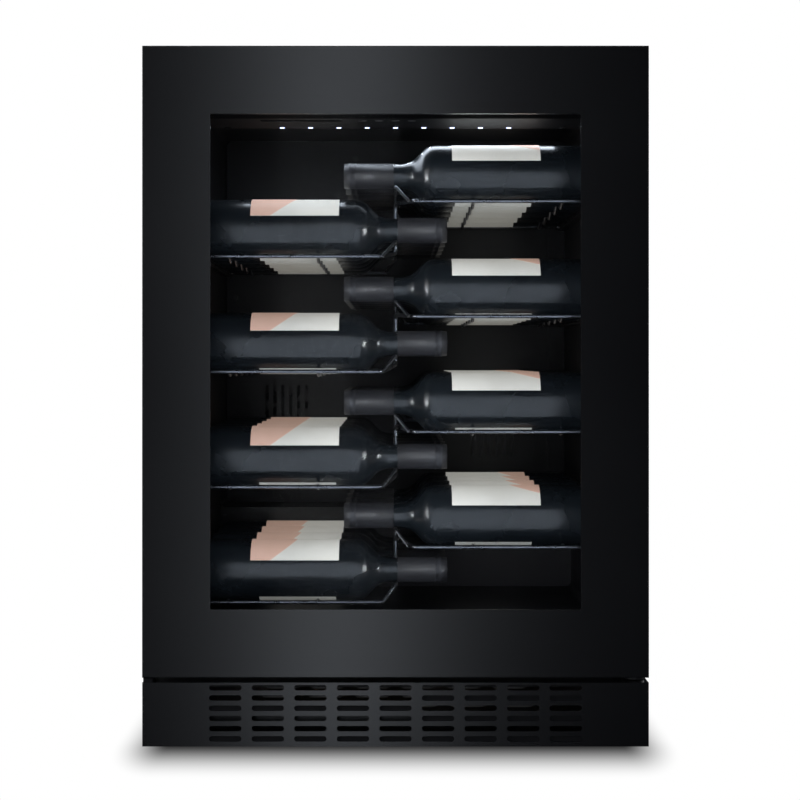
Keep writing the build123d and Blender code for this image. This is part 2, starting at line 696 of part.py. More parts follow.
with BuildPart() as door_front_panel:
    block(door_x, (FRONT, FRONT + RETURN_DEPTH), (DOOR_BOTTOM, HEIGHT))
    front_edges = door_front_panel.faces().sort_by(Axis.Y)[0].edges()
    fillet(front_edges, radius=1.0)
    pan_x = (-HALF + SKIN, HALF - SKIN)
    pan_z = (DOOR_BOTTOM + SKIN, HEIGHT - SKIN)
    block(pan_x, (skin_back, FRONT + RETURN_DEPTH + 1), pan_z, Mode.SUBTRACT)
    with BuildSketch(front_plane(skin_back + 1)):
        with Locations((0, (WINDOW_LOW + WINDOW_HIGH) / 2)):
            RectangleRounded(2 * WINDOW_HALF, WINDOW_HIGH - WINDOW_LOW, 1.5)
    extrude(amount=4, mode=Mode.SUBTRACT)
    block(notch_x, notch_y, notch_z, Mode.SUBTRACT)
    rod((PIVOT_X, PIVOT_Y, DOOR_BOTTOM - 1), (0, 0, 1), 9, 5, Mode.SUBTRACT)
save(door_front_panel.part, "door_front_panel")

with BuildPart() as door_core:
    block(core_x, (skin_back, liner_front), core_z)
    unit_x = (glass_x[0] - 1.5, glass_x[1] + 1.5)
    unit_z = (glass_z[0] - 1.5, glass_z[1] + 1.5)
    block(unit_x, (FRONT, DOOR_BACK), unit_z, Mode.SUBTRACT)
    block(notch_x, notch_y, notch_z, Mode.SUBTRACT)
    rod((PIVOT_X, PIVOT_Y, 784), (0, 0, 1), BUSH_RADIUS, 30, Mode.SUBTRACT)
    rod((PIVOT_X, PIVOT_Y, 80), (0, 0, 1), BUSH_RADIUS, 30, Mode.SUBTRACT)
save(door_core.part, "door_core")

with BuildPart() as door_liner:
    block(core_x, (liner_front, DOOR_BACK), core_z)
    back_edges = door_liner.faces().sort_by(Axis.Y)[-1].edges()
    fillet(back_edges, radius=3)
    lip_x = (-WINDOW_HALF - 14, WINDOW_HALF + 14)
    lip_z = (WINDOW_LOW - 13, WINDOW_HIGH + 13)
    block(lip_x, (unit_back, liner_front), lip_z)
    view_x = (-WINDOW_HALF - 8.5, WINDOW_HALF + 8.5)
    view_z = (WINDOW_LOW - 8, WINDOW_HIGH + 8)
    block(view_x, (unit_back - 1, DOOR_BACK + 1), view_z, Mode.SUBTRACT)
    block(notch_x, notch_y, notch_z, Mode.SUBTRACT)
save(door_liner.part, "door_liner")

with BuildPart() as outer_glass:
    block(glass_x, (skin_back, glass_back), glass_z)
save(outer_glass.part, "outer_glass")

with BuildPart() as inner_glass:
    block(glass_x, (spacer_back, unit_back), glass_z)
save(inner_glass.part, "inner_glass")

with BuildPart() as glass_spacer:
    block(glass_x, (glass_back, spacer_back), glass_z)
    sight_x = (-WINDOW_HALF - 2, WINDOW_HALF + 2)
    sight_z = (WINDOW_LOW - 2, WINDOW_HIGH + 2)
    block(sight_x, (glass_back - 1, spacer_back + 1), sight_z, Mode.SUBTRACT)
save(glass_spacer.part, "glass_spacer")

with BuildPart() as door_gasket:
    with BuildSketch(front_plane(CABINET_FRONT - 0.3)):
        with Locations((0, 452)):
            RectangleRounded(556, 708, 10)
            RectangleRounded(524, 676, 6, mode=Mode.SUBTRACT)
    extrude(amount=CABINET_FRONT - 0.3 - DOOR_BACK)
    chamfer(door_gasket.faces().sort_by(Axis.Y)[-1].edges(), length=2.5)
save(door_gasket.part, "door_gasket")

with BuildPart() as hinge_bushings:
    rod((PIVOT_X, PIVOT_Y, 784), (0, 0, 1), BUSH_RADIUS, NOTCH_Z - 784)
    rod((PIVOT_X, PIVOT_Y, DOOR_BOTTOM), (0, 0, 1), BUSH_RADIUS, 26)
    rod((PIVOT_X, PIVOT_Y, 785), (0, 0, 1), BUSH_BORE, 30, Mode.SUBTRACT)
    rod((PIVOT_X, PIVOT_Y, 80), (0, 0, 1), BUSH_BORE, 29, Mode.SUBTRACT)
save(hinge_bushings.part, "hinge_bushings")

with BuildPart() as striker_pad:
    block((LATCH_X - 10, LATCH_X + 10), (DOOR_BACK, DOOR_BACK + 1.5), (810.5, 820.5))
save(striker_pad.part, "striker_pad")
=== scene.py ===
# %% [markdown]
# # An under-counter wine cooler
# The cabinet, door, racks and machinery arrive as solid parts in one shared frame, in metres:
# +Z is up and the door faces -Y. This script gives every part its finish, swaps the door seal for
# a bellows, and builds the light, the floor and the camera.

# %% Load the frame
import json
import math

import bmesh
import bpy
import numpy as np
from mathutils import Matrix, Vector

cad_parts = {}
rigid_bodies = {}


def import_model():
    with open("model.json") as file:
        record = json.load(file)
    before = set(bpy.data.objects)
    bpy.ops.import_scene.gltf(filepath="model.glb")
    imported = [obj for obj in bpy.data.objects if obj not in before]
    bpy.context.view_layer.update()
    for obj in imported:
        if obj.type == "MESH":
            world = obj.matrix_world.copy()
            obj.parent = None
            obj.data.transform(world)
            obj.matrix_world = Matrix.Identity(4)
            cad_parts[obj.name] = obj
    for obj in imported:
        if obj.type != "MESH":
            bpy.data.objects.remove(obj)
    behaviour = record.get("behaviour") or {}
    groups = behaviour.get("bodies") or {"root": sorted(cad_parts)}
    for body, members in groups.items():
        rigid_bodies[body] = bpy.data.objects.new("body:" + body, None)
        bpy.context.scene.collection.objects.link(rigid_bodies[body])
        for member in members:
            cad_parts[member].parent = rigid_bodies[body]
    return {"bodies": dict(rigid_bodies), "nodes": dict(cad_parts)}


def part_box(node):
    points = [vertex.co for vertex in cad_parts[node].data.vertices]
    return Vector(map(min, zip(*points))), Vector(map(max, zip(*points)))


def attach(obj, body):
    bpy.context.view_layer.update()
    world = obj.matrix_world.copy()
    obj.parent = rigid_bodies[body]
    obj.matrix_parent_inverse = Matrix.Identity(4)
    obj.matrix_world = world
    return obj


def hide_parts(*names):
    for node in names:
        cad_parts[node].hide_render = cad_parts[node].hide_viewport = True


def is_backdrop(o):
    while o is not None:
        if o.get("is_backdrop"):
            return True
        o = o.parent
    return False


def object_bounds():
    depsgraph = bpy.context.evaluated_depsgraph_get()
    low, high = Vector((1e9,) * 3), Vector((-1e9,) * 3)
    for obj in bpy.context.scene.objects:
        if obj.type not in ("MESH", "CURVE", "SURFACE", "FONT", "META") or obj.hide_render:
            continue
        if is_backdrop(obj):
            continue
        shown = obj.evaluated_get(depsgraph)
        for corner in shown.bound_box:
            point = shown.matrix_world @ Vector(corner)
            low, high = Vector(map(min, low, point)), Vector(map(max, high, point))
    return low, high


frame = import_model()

cad_low, cad_high = (tuple(corner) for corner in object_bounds())
nodes = frame["nodes"]
print("cabinet box, metres:", np.round(cad_low, 3), np.round(cad_high, 3))

# %% [markdown]
# ## Where the pieces are
# Places are read from the parts themselves rather than typed in again. The seal's box sizes the new
# seal, the lenses say where the diodes go, and each rack's box says where its rails are, which the
# bottles lie on.

# %% Places read from the frame
seal_low, seal_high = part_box("door_gasket")
lens_low, lens_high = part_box("led_lenses")
RACKS = ["rack_1", "rack_2", "rack_3", "rack_4"]
print("lenses end at z", round(lens_low[2], 3), "m and start at x", round(lens_low[0], 3), "m")

# %% [markdown]
# ## The fine surface of a finish
# No maker's surface is one flat colour. Paint has a faint orange peel, moulded plastic has a spark
# pattern, and handling leaves slightly duller areas. One node group gives both scales of variation:
# a fine height for the bump and a broad mask for colour and roughness. It reads Object coordinates,
# so the pattern is fixed to the part when the door swings or a rack slides.

# %% A node group for grain and blotches
def new_group(name, inputs, outputs):
    """An empty shader group with float inputs {name: default} and the named outputs."""
    group = bpy.data.node_groups.new(name, "ShaderNodeTree")
    for label, default in inputs.items():
        socket = group.interface.new_socket(label, in_out="INPUT", socket_type="NodeSocketFloat")
        socket.default_value = default
    for label in outputs:
        group.interface.new_socket(label, in_out="OUTPUT", socket_type="NodeSocketFloat")
    group_in = group.nodes.new("NodeGroupInput")
    group_out = group.nodes.new("NodeGroupOutput")
    return group, group_in, group_out


def grain_group():
    """Height: fine noise over cells. Blotch: slow noise with soft contrast, from 0 to 1."""
    inputs = {"Fine Scale": 900.0, "Broad Scale": 6.0, "Cells": 0.0}
    group, group_in, group_out = new_group("grain_and_blotch", inputs, ["Height", "Blotch"])
    link = group.links.new
    where = group.nodes.new("ShaderNodeTexCoord")
    fine = group.nodes.new("ShaderNodeTexNoise")
    fine.inputs["Detail"].default_value = 3.0
    cells = group.nodes.new("ShaderNodeTexVoronoi")
    mix = group.nodes.new("ShaderNodeMix")
    broad = group.nodes.new("ShaderNodeTexNoise")
    broad.inputs["Detail"].default_value = 4.0
    soften = group.nodes.new("ShaderNodeMapRange")
    soften.inputs["From Min"].default_value = 0.32
    soften.inputs["From Max"].default_value = 0.68
    for texture in (fine, cells, broad):
        link(where.outputs["Object"], texture.inputs["Vector"])
    link(group_in.outputs["Fine Scale"], fine.inputs["Scale"])
    link(group_in.outputs["Fine Scale"], cells.inputs["Scale"])
    link(group_in.outputs["Broad Scale"], broad.inputs["Scale"])
    link(group_in.outputs["Cells"], mix.inputs["Factor"])
    link(fine.outputs["Fac"], mix.inputs["A"])
    link(cells.outputs["Distance"], mix.inputs["B"])
    link(broad.outputs["Fac"], soften.inputs["Value"])
    link(mix.outputs["Result"], group_out.inputs["Height"])
    link(soften.outputs["Result"], group_out.inputs["Blotch"])
    return group


GRAIN = grain_group()
print("group", GRAIN.name, "has", len(GRAIN.nodes), "nodes")

# %% [markdown]
# Drawn and brushed metal has its scratches in one direction. A noise that is squeezed along two axes
# and left long on the third gives that lay. The three stretch inputs say which way it runs.

# %% A node group for brushed metal
def brushed_group():
    """Height and Streak: noise in Object coordinates, scaled apart along X, Y and Z."""
    inputs = {"X": 30.0, "Y": 900.0, "Z": 900.0}
    group, group_in, group_out = new_group("brushed_lay", inputs, ["Height", "Streak"])
    link = group.links.new
    where = group.nodes.new("ShaderNodeTexCoord")
    stretch = group.nodes.new("ShaderNodeCombineXYZ")
    product = group.nodes.new("ShaderNodeVectorMath")
    product.operation = "MULTIPLY"
    lay = group.nodes.new("ShaderNodeTexNoise")
    lay.inputs["Scale"].default_value = 1.0
    lay.inputs["Detail"].default_value = 5.0
    soften = group.nodes.new("ShaderNodeMapRange")
    soften.inputs["From Min"].default_value = 0.3
    soften.inputs["From Max"].default_value = 0.7
    for axis in "XYZ":
        link(group_in.outputs[axis], stretch.inputs[axis])
    link(where.outputs["Object"], product.inputs[0])
    link(stretch.outputs["Vector"], product.inputs[1])
    link(product.outputs["Vector"], lay.inputs["Vector"])
    link(lay.outputs["Fac"], soften.inputs["Value"])
    link(lay.outputs["Fac"], group_out.inputs["Height"])
    link(soften.outputs["Result"], group_out.inputs["Streak"])
    return group


BRUSHED = brushed_group()
print("group", BRUSHED.name, "has", len(BRUSHED.nodes), "nodes")

# %% [markdown]
# ## One recipe for every finish
# A finish is a Principled BSDF whose colour and roughness move a little between two values, driven
# by the group's mask, and whose normal is bumped by the group's height. Both groups give the height
# first and the mask second. The bump's distance is a depth in metres, so paint gets a few hundredths
# of a millimetre or less, and the open cells of foam get more than half a millimetre.

# %% The recipe
def finish(name, dark, light, rough, metal=0.0, depth=0.00002, group=GRAIN, settings=None, **sockets):
    """A material: two colours, a (low, high) roughness, and plain shader sockets by name."""
    made = bpy.data.materials.new(name)
    made.use_nodes = True
    tree = made.node_tree
    shader = tree.nodes["Principled BSDF"]
    detail = tree.nodes.new("ShaderNodeGroup")
    detail.node_tree = group
    for label, value in (settings or {}).items():
        detail.inputs[label].default_value = value
    height, mask = detail.outputs
    colour = tree.nodes.new("ShaderNodeMix")
    colour.data_type = "RGBA"
    colour.inputs["A"].default_value = (*dark, 1.0)
    colour.inputs["B"].default_value = (*light, 1.0)
    dull = tree.nodes.new("ShaderNodeMapRange")
    dull.inputs["To Min"].default_value = rough[0]
    dull.inputs["To Max"].default_value = rough[1]
    bump = tree.nodes.new("ShaderNodeBump")
    bump.inputs["Distance"].default_value = depth
    tree.links.new(mask, colour.inputs["Factor"])
    tree.links.new(mask, dull.inputs["Value"])
    tree.links.new(colour.outputs["Result"], shader.inputs["Base Color"])
    tree.links.new(dull.outputs["Result"], shader.inputs["Roughness"])
    tree.links.new(height, bump.inputs["Height"])
    tree.links.new(bump.outputs["Normal"], shader.inputs["Normal"])
    shader.inputs["Metallic"].default_value = metal
    for label, value in sockets.items():
        shader.inputs[label.replace("_", " ")].default_value = value
    return made


print("one recipe, two groups:", GRAIN.name, "and", BRUSHED.name)

# %% [markdown]
# ## Painted and moulded black
# The front is a satin black powder coat, smooth enough to show a soft light as a long gradient. The
# mouldings behind it are duller and rougher, and the liner of the cavity is a dark grey ABS sheet.

# %% Black finishes
SATIN_BLACK = finish(
    "satin_black_front", (0.008, 0.008, 0.010), (0.010, 0.010, 0.012), (0.235, 0.26),
    depth=0.000004, settings={"Fine Scale": 700.0, "Broad Scale": 3.0})
CASE_BLACK = finish(
    "case_black_paint", (0.016, 0.016, 0.018), (0.022, 0.022, 0.024), (0.42, 0.52),
    depth=0.00002, settings={"Fine Scale": 1100.0, "Broad Scale": 5.0})
MOULDED_BLACK = finish(
    "moulded_black", (0.010, 0.010, 0.012), (0.016, 0.016, 0.018), (0.54, 0.66),
    depth=0.00006, settings={"Fine Scale": 1400.0, "Broad Scale": 14.0, "Cells": 0.7},
    Specular_IOR_Level=0.2)
LINER_GREY = finish(
    "liner_dark_grey", (0.012, 0.013, 0.016), (0.017, 0.018, 0.022), (0.36, 0.46),
    depth=0.00003, settings={"Fine Scale": 800.0, "Broad Scale": 9.0, "Cells": 0.4})
DUCT_GREY = finish(
    "duct_dark_grey", (0.014, 0.016, 0.020), (0.020, 0.022, 0.027), (0.42, 0.52),
    depth=0.00005, settings={"Fine Scale": 1200.0, "Broad Scale": 8.0, "Cells": 0.6})
print("black finishes made")

# %% [markdown]
# ## Metals
# The racks are plated wire, so they are almost mirrors with a dark tone. Hinges and screws are
# blackened steel, the back and the base are galvanised sheet with its slow spangle, and the
# pipes are drawn copper. The evaporator plate stands behind the duct cover. It is dull aluminium
# whose colour is darkened as painted shade, so that the slots in front of it look dark.

# %% Metal finishes
WIRE = finish(
    "plated_wire", (0.13, 0.135, 0.15), (0.19, 0.20, 0.22), (0.24, 0.34), metal=1.0,
    depth=0.000008, settings={"Fine Scale": 500.0, "Broad Scale": 40.0})
BLACKENED = finish(
    "blackened_steel", (0.045, 0.045, 0.050), (0.075, 0.075, 0.080), (0.30, 0.42), metal=0.6,
    depth=0.00001, group=BRUSHED)
GALVANISED = finish(
    "galvanised_sheet", (0.18, 0.185, 0.19), (0.27, 0.275, 0.28), (0.46, 0.60), metal=0.6,
    depth=0.00001, settings={"Fine Scale": 300.0, "Broad Scale": 55.0, "Cells": 0.3})
ALUMINIUM = finish(
    "mill_aluminium", (0.62, 0.63, 0.64), (0.80, 0.80, 0.81), (0.28, 0.42), metal=1.0,
    depth=0.000008, group=BRUSHED, settings={"X": 900.0, "Y": 900.0, "Z": 25.0})
# Dull aluminium whose colour is darkened as painted shade for the hollow behind the duct's slots.
SHADED_DULL_ALUMINIUM = finish(
    "dull_aluminium_painted_shade", (0.14, 0.14, 0.145), (0.20, 0.20, 0.21), (0.55, 0.68), metal=0.5,
    depth=0.00001, group=BRUSHED, settings={"X": 900.0, "Y": 900.0, "Z": 25.0})
COPPER = finish(
    "drawn_copper", (0.50, 0.20, 0.10), (0.80, 0.42, 0.28), (0.22, 0.40), metal=1.0,
    depth=0.000006, settings={"Fine Scale": 600.0, "Broad Scale": 60.0})
SHELL_BLACK = finish(
    "compressor_enamel", (0.008, 0.008, 0.009), (0.014, 0.014, 0.015), (0.18, 0.30),
    depth=0.00003, settings={"Fine Scale": 350.0, "Broad Scale": 18.0}, Coat_Weight=0.4)
print("metal finishes made")

# %% [markdown]
# ## Rubber, foam, boards and glass
# The panes are thin and clear with a light smoke tint. A low alpha lets the lamp and the room light
# through without the noise that a solid refracting block brings, and keeps a faint sheen.

# %% Soft, electric and clear finishes
RUBBER = finish(
    "seal_rubber", (0.014, 0.014, 0.014), (0.024, 0.024, 0.024), (0.62, 0.78),
    depth=0.00004, settings={"Fine Scale": 1600.0, "Broad Scale": 30.0})
FOAM = finish(
    "insulation_foam", (0.62, 0.50, 0.26), (0.76, 0.66, 0.40), (0.80, 0.95),
    depth=0.0006, settings={"Fine Scale": 420.0, "Broad Scale": 20.0, "Cells": 0.9})
PALE_PLASTIC = finish(
    "pale_bearing_plastic", (0.62, 0.62, 0.60), (0.72, 0.72, 0.70), (0.36, 0.46),
    depth=0.00002, settings={"Fine Scale": 900.0, "Broad Scale": 30.0})
FOOT_BLACK = finish(
    "foot_nylon", (0.022, 0.022, 0.023), (0.034, 0.034, 0.035), (0.48, 0.62),
    depth=0.00008, settings={"Fine Scale": 900.0, "Broad Scale": 40.0, "Cells": 0.8})
BOARD_GREEN = finish(
    "circuit_board_lacquer", (0.008, 0.085, 0.032), (0.014, 0.15, 0.055), (0.24, 0.34),
    depth=0.00005, settings={"Fine Scale": 260.0, "Broad Scale": 90.0, "Cells": 1.0})
PAD_GREY = finish(
    "touch_pad_ink", (0.16, 0.17, 0.19), (0.22, 0.23, 0.25), (0.26, 0.34),
    depth=0.00001, settings={"Fine Scale": 900.0, "Broad Scale": 60.0})
DISPLAY = finish(
    "display_smoked_glass", (0.004, 0.004, 0.006), (0.007, 0.007, 0.010), (0.05, 0.10),
    depth=0.000001, settings={"Fine Scale": 300.0, "Broad Scale": 20.0})
PANE = finish(
    "smoked_pane", (0.010, 0.011, 0.013), (0.016, 0.017, 0.020), (0.02, 0.05),
    depth=0.0000005, settings={"Fine Scale": 40.0, "Broad Scale": 4.0}, Alpha=0.03,
    Specular_IOR_Level=0.15)
LENS = finish(
    "lit_led_lens", (0.80, 0.88, 1.0), (0.90, 0.95, 1.0), (0.08, 0.14),
    depth=0.00001, settings={"Fine Scale": 500.0, "Broad Scale": 200.0},
    Emission_Color=(0.55, 0.64, 1.0, 1.0), Emission_Strength=4.0)
print("soft, electric and clear finishes made")

# %% [markdown]
# ## Finishes go to the parts
# Each part keeps its own shape, so only its material slots change. Parts of one kind are listed
# together, and anything left over would be printed.

# %% Assign the finishes
FINISHES = {
    SATIN_BLACK: ["door_front_panel", "kick_grille"],
    CASE_BLACK: ["outer_case", "power_board_box"],
    MOULDED_BLACK: [
        "door_core", "door_liner", "grille_louvres", "lamp_housing", "opener_housing",
        "opener_plunger", "striker_pad", "circulation_fan_frame", "circulation_fan_rotor",
        "condenser_fan_frame", "condenser_fan_rotor", "compressor_terminal_cover", "power_inlet",
        "drip_tray", "left_corner_cap"],
    LINER_GREY: ["inner_liner", "left_rack_runners", "right_rack_runners"],
    DUCT_GREY: ["rear_duct_cover"],
    WIRE: RACKS,
    BLACKENED: [
        "upper_hinge_bracket", "lower_hinge_bracket", "hinge_pins", "cabinet_screws", "foot_nuts"],
    GALVANISED: ["back_panel", "machine_bay_cover", "base_pan", "base_front_frame"],
    ALUMINIUM: ["condenser_coil", "glass_spacer"],
    SHADED_DULL_ALUMINIUM: ["evaporator_plate"],
    COPPER: ["suction_line", "discharge_line", "filter_drier"],
    SHELL_BLACK: ["compressor"],
    RUBBER: ["door_gasket", "compressor_mounts"],
    FOAM: ["foam_insulation"],
    PALE_PLASTIC: ["hinge_bushings", "temperature_sensor"],
    FOOT_BLACK: ["front_left_foot", "front_right_foot", "rear_left_foot", "rear_right_foot"],
    BOARD_GREEN: ["led_board", "control_board"],
    PAD_GREY: ["touch_buttons"],
    DISPLAY: ["display_window"],
    PANE: ["outer_glass", "inner_glass"],
    LENS: ["led_lenses"],
}


def dress(piece, material):
    """Puts one material in every slot of a piece, and adds a slot where there is none."""
    if not piece.material_slots:
        piece.data.materials.append(material)
    for slot in piece.material_slots:
        slot.material = material


dressed = set()
for material, names in FINISHES.items():
    for name in names:
        dress(nodes[name], material)
        dressed.add(name)
print("dressed", len(dressed), "parts; left over:", sorted(set(nodes) - dressed))

# %% [markdown]
# ## Surfaces from arrays
# Every new piece is a grid of points worked out as one array: rows run along it, columns run round
# it. This helper turns the grid into a mesh, closes it where asked, and turns its faces outwards.

# %% A grid to a mesh
MERGE_DISTANCE = 0.000001


def grid_faces(rows, columns, wrap_rows=False, wrap_columns=False):
    """Quads between neighbouring points of a rows by columns grid, wrapped round where asked."""
    index = np.arange(rows * columns).reshape(rows, columns)
    if wrap_columns:
        index = np.concatenate([index, index[:, :1]], axis=1)
    if wrap_rows:
        index = np.concatenate([index, index[:1]], axis=0)
    corners = [index[:-1, :-1], index[1:, :-1], index[1:, 1:], index[:-1, 1:]]
    return np.stack(corners, axis=-1).reshape(-1, 4)


def surface(name, points, material, wrap_rows=False, wrap_columns=False):
    """An object from a (rows, columns, 3) array of points, smooth shaded, with faces outwards."""
    rows, columns = points.shape[:2]
    mesh = bpy.data.meshes.new(name)
    faces = grid_faces(rows, columns, wrap_rows, wrap_columns)
    mesh.from_pydata(points.reshape(-1, 3).tolist(), [], faces.tolist())
    mesh.materials.append(material)
    cleaner = bmesh.new()
    cleaner.from_mesh(mesh)
    bmesh.ops.remove_doubles(cleaner, verts=cleaner.verts, dist=MERGE_DISTANCE)
    bmesh.ops.recalc_face_normals(cleaner, faces=cleaner.faces)
    cleaner.to_mesh(mesh)
    cleaner.free()
    mesh.shade_smooth()
    made = bpy.data.objects.new(name, mesh)
    bpy.context.scene.collection.objects.link(made)
    return made


# %% [markdown]
# ## The door seal
# A magnetic seal is a hollow bellows: a foot that snaps into the door, two soft folds, and a flat
# face that the magnet pulls on to the cabinet. Its profile is carried round a rectangle with round
# corners, which is four quarter circles joined by straight sides.

# %% The bellows seal
SEAL_WIDTH = 0.016
SEAL_CORNER = 0.012
CORNER_STEPS = 9
FOLD_STEPS = 17
FOLD_DEPTH = 0.34
END_WIDTH = 0.9


def round_rectangle(half_x, half_z, corner, steps):
    """Points and outward directions round a rectangle in X and Z with round corners."""
    quarter = np.linspace(0.0, math.pi / 2, steps)
    starts = np.array([0.0, 0.5, 1.0, 1.5]) * math.pi
    signs = np.array([[1, 1], [-1, 1], [-1, -1], [1, -1]])
    angle = (starts[:, None] + quarter[None, :]).reshape(-1)
    centre = signs * np.array([half_x - corner, half_z - corner])
    outward = np.stack([np.cos(angle), np.sin(angle)], axis=-1)
    path = np.repeat(centre, steps, axis=0) + corner * outward
    return path, outward


def bellows_profile(half_width, depth, steps):
    """(across, along) points: a squared sine draws the sides in twice, and the ends are flat."""
    climb = np.linspace(0.0, 1.0, steps)
    side = half_width * (1.0 - FOLD_DEPTH * np.sin(2.0 * math.pi * climb) ** 2)
    side[[0, -1]] *= END_WIDTH
    across = np.concatenate([side, -side[::-1]])
    along = np.concatenate([climb, climb[::-1]]) * depth
    return across, along


seal_centre = (seal_low + seal_high) / 2
seal_half = (seal_high - seal_low) / 2
path, outward = round_rectangle(
    seal_half[0] - SEAL_WIDTH / 2, seal_half[2] - SEAL_WIDTH / 2, SEAL_CORNER, CORNER_STEPS)
across, along = bellows_profile(SEAL_WIDTH / 2, seal_high[1] - seal_low[1], FOLD_STEPS)
ring = path[:, None, :] + across[None, :, None] * outward[:, None, :]
seal_points = np.empty((*ring.shape[:2], 3))
seal_points[..., 0] = seal_centre[0] + ring[..., 0]
seal_points[..., 1] = seal_low[1] + along[None, :]
seal_points[..., 2] = seal_centre[2] + ring[..., 1]
door_seal = surface("door_seal_bellows", seal_points, RUBBER, wrap_rows=True, wrap_columns=True)
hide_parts("door_gasket")
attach(door_seal, "door")
print("seal:", len(door_seal.data.polygons), "faces,", round(seal_half[0] * 2, 3), "m wide")

# %% [markdown]
# ## Bottles, as stage props
# The cooler is shown full. The bottles aren't part of it, so they are stage props that ride on the
# racks. Their labels give off a little light of their own, which stands in for the light that a
# real cavity passes back and forth between its walls, its racks and the glass.

# %% Finishes of the bottles
DARK_GLASS = finish(
    "bottle_glass", (0.006, 0.008, 0.010), (0.010, 0.013, 0.016), (0.24, 0.30),
    depth=0.00001, settings={"Fine Scale": 30.0, "Broad Scale": 12.0}, Coat_Weight=0.12)
CAPSULE = finish(
    "bottle_capsule", (0.018, 0.018, 0.021), (0.027, 0.027, 0.031), (0.42, 0.52),
    depth=0.00002, settings={"Fine Scale": 500.0, "Broad Scale": 30.0})
LABEL = finish(
    "label_paper", (0.66, 0.63, 0.56), (0.74, 0.71, 0.64), (0.60, 0.70),
    depth=0.00003, settings={"Fine Scale": 900.0, "Broad Scale": 30.0},
    Emission_Color=(0.80, 0.79, 0.73, 1.0), Emission_Strength=0.31)
# The labels on the underside are a darker copy of the label paper with a weaker glow: painted shade.
SHADED_BACK_LABEL = finish(
    "back_label_painted_shade", (0.50, 0.49, 0.45), (0.58, 0.57, 0.52), (0.60, 0.70),
    depth=0.00003, settings={"Fine Scale": 900.0, "Broad Scale": 30.0},
    Emission_Color=(0.72, 0.72, 0.66, 1.0), Emission_Strength=0.14)
LABEL_CORAL = finish(
    "label_coral_ink", (0.66, 0.40, 0.30), (0.74, 0.46, 0.36), (0.55, 0.65),
    depth=0.00003, settings={"Fine Scale": 900.0, "Broad Scale": 30.0},
    Emission_Color=(0.78, 0.53, 0.42, 1.0), Emission_Strength=0.31)
print("bottle finishes made")

# %% [markdown]
# A bottle is a profile turned about its own axis: base, straight body, shoulder, neck and capsule.
# The shoulder is short and steep at first and then eases into the neck. It could be a spline, but a
# few radii joined by straight lines, with a running mean to round their corners, are easier to tune.

# %% The bottle's shape
BODY_RADIUS = 0.0375
CAP_RADIUS = 0.0155
HEEL_RADIUS = 0.006
PUNT_DEPTH = 0.004
HEEL_STEPS = 7
TURN_STEPS = 48
BASE_X = -0.236
CAP_X = 0.002
SHOULDER_STEPS = 45
RUNNING_MEAN = np.array([1.0, 2.0, 3.0, 2.0, 1.0]) / 9.0
SHOULDER_X = np.array([-60, -48, -42, -35, -28, -22, -14, -8, 0, 6]) / 1000
SHOULDER_R = np.array([37.5, 37.5, 36.4, 32.8, 25.2, 19.0, 15.9, 14.8, 14.5, 14.5]) / 1000


def bottle_profile():
    """(x, radius) from the base's middle to the neck, with a rounded heel and a short shoulder."""
    heel = np.linspace(0.0, math.pi / 2, HEEL_STEPS)
    heel_x = BASE_X + HEEL_RADIUS * (1.0 - np.sin(heel))
    heel_r = BODY_RADIUS - HEEL_RADIUS * (1.0 - np.cos(heel))[::-1]
    shoulder_x = np.linspace(SHOULDER_X[0], SHOULDER_X[-1], SHOULDER_STEPS)
    straight = np.interp(shoulder_x, SHOULDER_X, SHOULDER_R)
    padded = np.pad(straight, len(RUNNING_MEAN) // 2, mode="edge")
    shoulder_r = np.convolve(padded, RUNNING_MEAN, mode="valid")
    xs = np.concatenate([[BASE_X + PUNT_DEPTH], heel_x[::-1], shoulder_x])
    radii = np.concatenate([[0.0], heel_r, shoulder_r])
    return xs, radii


def capsule_profile():
    """(x, radius) of the foil capsule, with two rolled rings near the tip."""
    along = np.array([0, 0.5, 46, 46.5, 48, 48.5, 53, 53.5, 55, 55.5, 61.5, 62]) / 1000
    rise = np.array([-15.5, 0, 0, 0.5, 0.5, 0, 0, 0.5, 0.5, 0, -0.4, -15.5]) / 1000
    return CAP_X + along, CAP_RADIUS + rise


def turned(xs, radii, start=0.0, stop=2 * math.pi, steps=TURN_STEPS):
    """A profile turned about X: y is minus radius times cosine, z is radius times sine."""
    angle = np.linspace(start, stop, steps)
    points = np.empty((len(xs), steps, 3))
    points[..., 0] = xs[:, None]
    points[..., 1] = -radii[:, None] * np.cos(angle)[None, :]
    points[..., 2] = radii[:, None] * np.sin(angle)[None, :]
    return points


print("bottle: body", BODY_RADIUS * 2, "m across, neck", SHOULDER_R[-1] * 2, "m across")

# %% [markdown]
# A label is a patch of the same turned surface, a hair outside the glass. Its tinted end is one more
# patch over it, whose edge slopes: it reaches further along the bottle the higher it is.

# %% The labels
LABEL_X = (-0.177, -0.069)
BACK_LABEL_X = (-0.167, -0.073)
PAPER_LIFT = 0.0003
INK_LIFT = 0.0006
LABEL_ROWS = 8
LABEL_COLUMNS = 24
INK_ROWS = 6
INK_COLUMNS = 12


def label_points(x_span, start, stop):
    """A patch just over the bottle's body, between two lengths and two angles above the front."""
    xs = np.linspace(*x_span, LABEL_ROWS)
    radii = np.full(LABEL_ROWS, BODY_RADIUS + PAPER_LIFT)
    return turned(xs, radii, math.radians(start), math.radians(stop), LABEL_COLUMNS)


